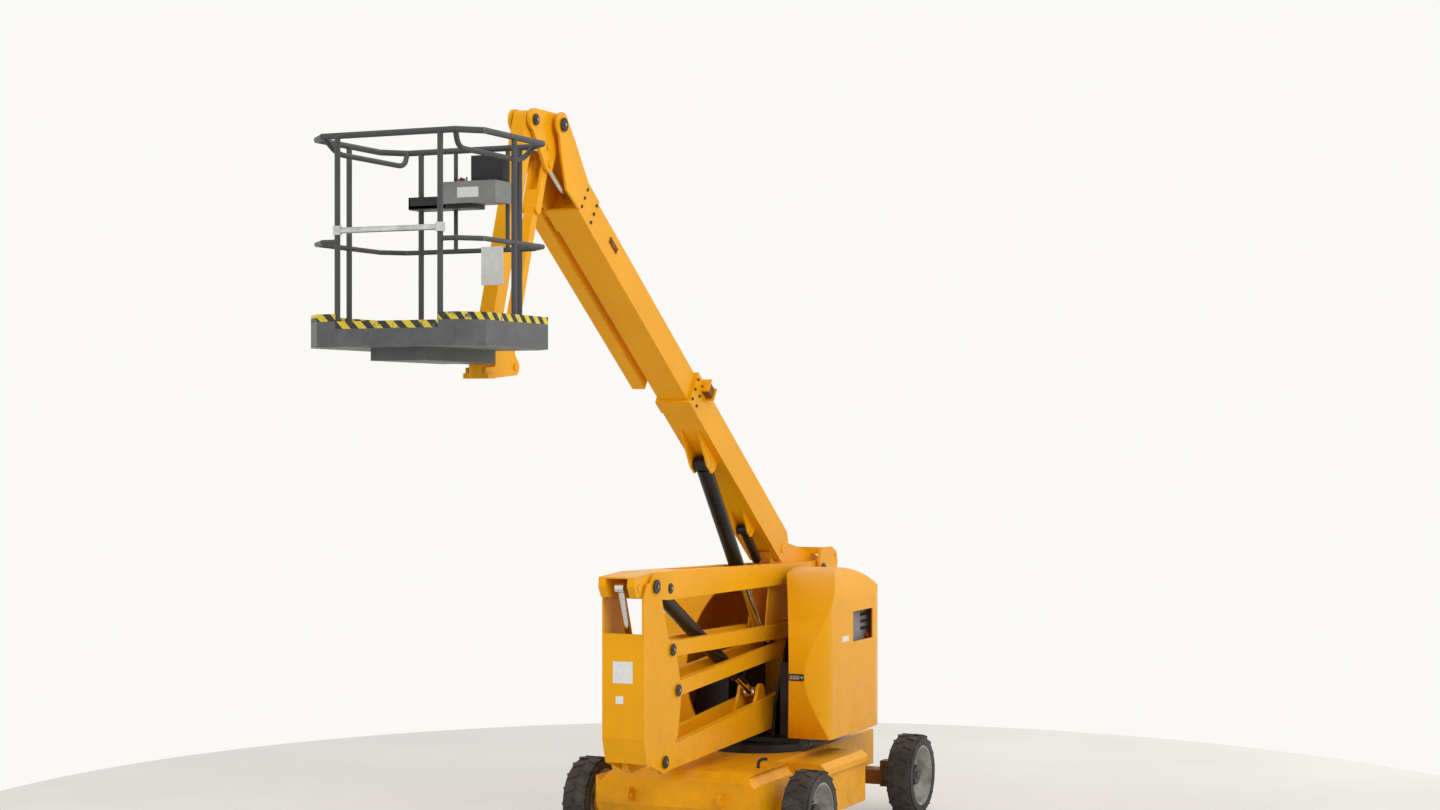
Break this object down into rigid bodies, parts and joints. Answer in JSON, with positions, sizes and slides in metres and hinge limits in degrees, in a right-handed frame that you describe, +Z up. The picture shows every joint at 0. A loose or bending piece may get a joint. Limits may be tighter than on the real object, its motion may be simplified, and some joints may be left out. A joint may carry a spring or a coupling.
{
  "type": "articulating boom lift",
  "caption": "Self-propelled articulating boom lift with stacked lift arms, telescopic boom, parallelogram jib and a railed work basket on a slewing turret.",
  "frame": {"origin": "ground point under the slew axis, midway between the axles", "axes": "+X forward from the turret to the basket, +Y to the left, +Z up"},
  "size_m": [6.287, 1.798, 4.7321],
  "materials": {
    "yellow": "gloss",
    "axle": "satin",
    "black_metal": "gloss",
    "tyre": "matte",
    "rim": "satin",
    "rod": "polished",
    "basket_grey": "satin",
    "panel": "matte",
    "black_plastic": "matte",
    "aluminium": "satin"
  },
  "bodies": {
    "chassis": {"chassis": "yellow", "side_boxes": "yellow", "rear_axle": "axle", "slew_ring": "black_metal"},
    "knuckle_left": {"knuckle_left": "black_metal"},
    "knuckle_right": {"knuckle_right": "black_metal"},
    "wheel_front_left": {"tyre_front_left": "tyre", "rim_front_left": "rim"},
    "wheel_front_right": {"tyre_front_right": "tyre", "rim_front_right": "rim"},
    "wheel_rear_left": {"tyre_rear_left": "tyre", "rim_rear_left": "rim"},
    "wheel_rear_right": {"tyre_rear_right": "tyre", "rim_rear_right": "rim"},
    "turret": {"turret": "black_metal", "counterweight": "yellow", "battery_packs": "black_plastic", "ground_controls": "panel"},
    "hood_left": {"hood_left": "yellow"},
    "hood_right": {"hood_right": "yellow"},
    "lower_arm": {"lower_arm": "yellow"},
    "lower_link": {"lower_link": "yellow"},
    "post": {"post": "yellow"},
    "upper_arm": {"upper_arm": "yellow"},
    "upper_link": {"upper_link": "yellow"},
    "head": {"head": "yellow"},
    "arm_barrel": {"arm_barrel": "black_metal"},
    "arm_rod": {"arm_rod": "rod"},
    "post_barrel": {"post_barrel": "black_metal"},
    "post_rod": {"post_rod": "rod"},
    "base_boom": {"base_boom": "yellow"},
    "boom_barrel": {"boom_barrel": "black_metal"},
    "boom_rod": {"boom_rod": "rod"},
    "level_barrel": {"level_barrel": "black_metal"},
    "level_rod": {"level_rod": "rod"},
    "inner_boom": {"inner_boom": "yellow", "cable_tray": "yellow"},
    "jib_root": {"jib_root": "yellow"},
    "jib_level_rod": {"jib_level_rod": "rod"},
    "jib_arm": {"jib_arm": "yellow"},
    "tie_rod": {"tie_rod": "yellow"},
    "basket_bracket": {"basket_bracket": "yellow"},
    "basket": {"basket_tray": "basket_grey", "basket_rails": "basket_grey", "control_box": "panel", "document_box": "black_plastic"},
    "entry_bar": {"entry_bar": "aluminium"}
  },
  "joints": [
    {"name": "slew", "type": "hinge", "parent": "chassis", "child": "turret", "pos_m": [0, 0, 0.645], "axis": [0, 0, 1], "range_deg": [-177, 177]},
    {"name": "steer_left", "type": "hinge", "parent": "chassis", "child": "knuckle_left", "pos_m": [-1.01, 0.69, 0.3], "axis": [0, 0, 1], "range_deg": [-35, 35]},
    {"name": "steer_right", "type": "hinge", "parent": "chassis", "child": "knuckle_right", "pos_m": [-1.01, -0.69, 0.3], "axis": [0, 0, 1], "range_deg": [-35, 35]},
    {"name": "wheel_front_left_spin", "type": "hinge", "parent": "chassis", "child": "wheel_front_left", "pos_m": [1.01, 0.804, 0.3], "axis": [0, 1, 0], "continuous": true},
    {"name": "wheel_front_right_spin", "type": "hinge", "parent": "chassis", "child": "wheel_front_right", "pos_m": [1.01, -0.804, 0.3], "axis": [0, 1, 0], "continuous": true},
    {"name": "wheel_rear_left_spin", "type": "hinge", "parent": "knuckle_left", "child": "wheel_rear_left", "pos_m": [-1.01, 0.804, 0.3], "axis": [0, 1, 0], "continuous": true},
    {"name": "wheel_rear_right_spin", "type": "hinge", "parent": "knuckle_right", "child": "wheel_rear_right", "pos_m": [-1.01, -0.804, 0.3], "axis": [0, 1, 0], "continuous": true},
    {"name": "hood_left_open", "type": "hinge", "parent": "turret", "child": "hood_left", "pos_m": [-1.052, 0.184, 1], "axis": [0, 0, 1], "range_deg": [0, 80]},
    {"name": "hood_right_open", "type": "hinge", "parent": "turret", "child": "hood_right", "pos_m": [-1.052, -0.184, 1], "axis": [0, 0, -1], "range_deg": [0, 80]},
    {"name": "arm_lift", "type": "hinge", "parent": "turret", "child": "lower_arm", "pos_m": [-0.12627, 0, 0.8451], "axis": [0, -1, 0], "range_deg": [0, 62]},
    {"name": "lower_link_swing", "type": "hinge", "parent": "turret", "child": "lower_link", "pos_m": [-0.32427, 0, 1.2871], "axis": [0, -1, 0], "range_deg": [0, 62]},
    {"name": "post_level", "type": "hinge", "parent": "lower_arm", "child": "post", "pos_m": [1.87, 0, 0.723], "axis": [0, -1, 0], "range_deg": [-62, 0]},
    {"name": "upper_arm_lift", "type": "hinge", "parent": "post", "child": "upper_arm", "pos_m": [2, 0, 1.857], "axis": [0, 1, 0], "range_deg": [0, 62]},
    {"name": "upper_link_swing", "type": "hinge", "parent": "post", "child": "upper_link", "pos_m": [1.755, 0, 1.435], "axis": [0, 1, 0], "range_deg": [0, 62]},
    {"name": "head_level", "type": "hinge", "parent": "upper_arm", "child": "head", "pos_m": [-0.87965, 0, 1.81176], "axis": [0, 1, 0], "range_deg": [-62, 0]},
    {"name": "arm_barrel_swing", "type": "hinge", "parent": "upper_arm", "child": "arm_barrel", "pos_m": [1.733, 0, 1.829], "axis": [0, -1, 0], "range_deg": [-1, 108]},
    {"name": "arm_rod_slide", "type": "slide", "parent": "arm_barrel", "child": "arm_rod", "axis": [-0.8872, 0, -0.4615], "range_m": [0, 1.22]},
    {"name": "post_barrel_swing", "type": "hinge", "parent": "post", "child": "post_barrel", "pos_m": [1.89, 0, 1.01], "axis": [0, -1, 0], "range_deg": [-6, 6]},
    {"name": "post_rod_slide", "type": "slide", "parent": "post_barrel", "child": "post_rod", "axis": [0.3433, 0, 0.9392], "range_m": [-0.218, 0]},
    {"name": "boom_lift", "type": "hinge", "parent": "head", "child": "base_boom", "pos_m": [-0.18, 0, 1.997], "axis": [0, -1, 0], "range_deg": [-34, 37]},
    {"name": "boom_barrel_swing", "type": "hinge", "parent": "base_boom", "child": "boom_barrel", "pos_m": [0.95332, 0, 2.62144], "axis": [0, -1, 0], "range_deg": [-10, 10]},
    {"name": "boom_rod_slide", "type": "slide", "parent": "boom_barrel", "child": "boom_rod", "axis": [-0.6275, 0, -0.7787], "range_m": [-0.289, 0.314]},
    {"name": "level_barrel_swing", "type": "hinge", "parent": "base_boom", "child": "level_barrel", "pos_m": [0.25344, 0, 2.14743], "axis": [0, -1, 0], "range_deg": [-8, 7]},
    {"name": "level_rod_slide", "type": "slide", "parent": "level_barrel", "child": "level_rod", "axis": [-0.7321, 0, -0.6812], "range_m": [-0.116, 0.125]},
    {"name": "telescope", "type": "slide", "parent": "base_boom", "child": "inner_boom", "axis": [0.8131, 0, 0.5821], "range_m": [-1.33, 0.1]},
    {"name": "root_level", "type": "hinge", "parent": "inner_boom", "child": "jib_root", "pos_m": [3.20759, 0, 4.65718], "axis": [0, -1, 0], "range_deg": [-37, 34]},
    {"name": "jib_level_slide", "type": "slide", "parent": "inner_boom", "child": "jib_level_rod", "axis": [0.8131, 0, 0.5821], "range_m": [-0.113, 0.105]},
    {"name": "jib_lift", "type": "hinge", "parent": "jib_root", "child": "jib_arm", "pos_m": [3.47, 0, 4.66], "axis": [0, -1, 0], "range_deg": [0, 105]},
    {"name": "tie_swing", "type": "hinge", "parent": "jib_root", "child": "tie_rod", "pos_m": [3.29, 0, 4.417], "axis": [0, -1, 0], "range_deg": [0, 105]},
    {"name": "bracket_level", "type": "hinge", "parent": "jib_arm", "child": "basket_bracket", "pos_m": [3.87412, 0, 3.45918], "axis": [0, -1, 0], "range_deg": [-105, 0]},
    {"name": "basket_swivel", "type": "hinge", "parent": "basket_bracket", "child": "basket", "pos_m": [4.015, 0, 3.295], "axis": [0, 0, 1], "range_deg": [-60, 60]},
    {"name": "entry_slide", "type": "slide", "parent": "basket", "child": "entry_bar", "axis": [0, 0, 1], "range_m": [0, 0.45]}
  ],
  "couplings": [
    {"joint": "steer_right", "follows": "steer_left", "ratio": 1},
    {"joint": "lower_link_swing", "follows": "arm_lift", "ratio": 1},
    {"joint": "post_level", "follows": "arm_lift", "ratio": -1},
    {"joint": "upper_arm_lift", "follows": "arm_lift", "ratio": 1},
    {"joint": "upper_link_swing", "follows": "arm_lift", "ratio": 1},
    {"joint": "head_level", "follows": "arm_lift", "ratio": -1},
    {"joint": "arm_barrel_swing", "follows": "arm_lift", "ratio": 1.7235},
    {"joint": "arm_rod_slide", "follows": "arm_lift", "m_per_rad": 1.1185},
    {"joint": "post_barrel_swing", "follows": "arm_lift", "ratio": 0.015401},
    {"joint": "post_rod_slide", "follows": "arm_lift", "m_per_rad": -0.19238},
    {"joint": "boom_barrel_swing", "follows": "boom_lift", "ratio": -0.23932},
    {"joint": "boom_rod_slide", "follows": "boom_lift", "m_per_rad": 0.47046},
    {"joint": "level_barrel_swing", "follows": "boom_lift", "ratio": -0.17207},
    {"joint": "level_rod_slide", "follows": "boom_lift", "m_per_rad": 0.178},
    {"joint": "root_level", "follows": "boom_lift", "ratio": -1},
    {"joint": "jib_level_slide", "follows": "boom_lift", "m_per_rad": -0.15936},
    {"joint": "tie_swing", "follows": "jib_lift", "ratio": 1},
    {"joint": "bracket_level", "follows": "jib_lift", "ratio": -1}
  ]
}
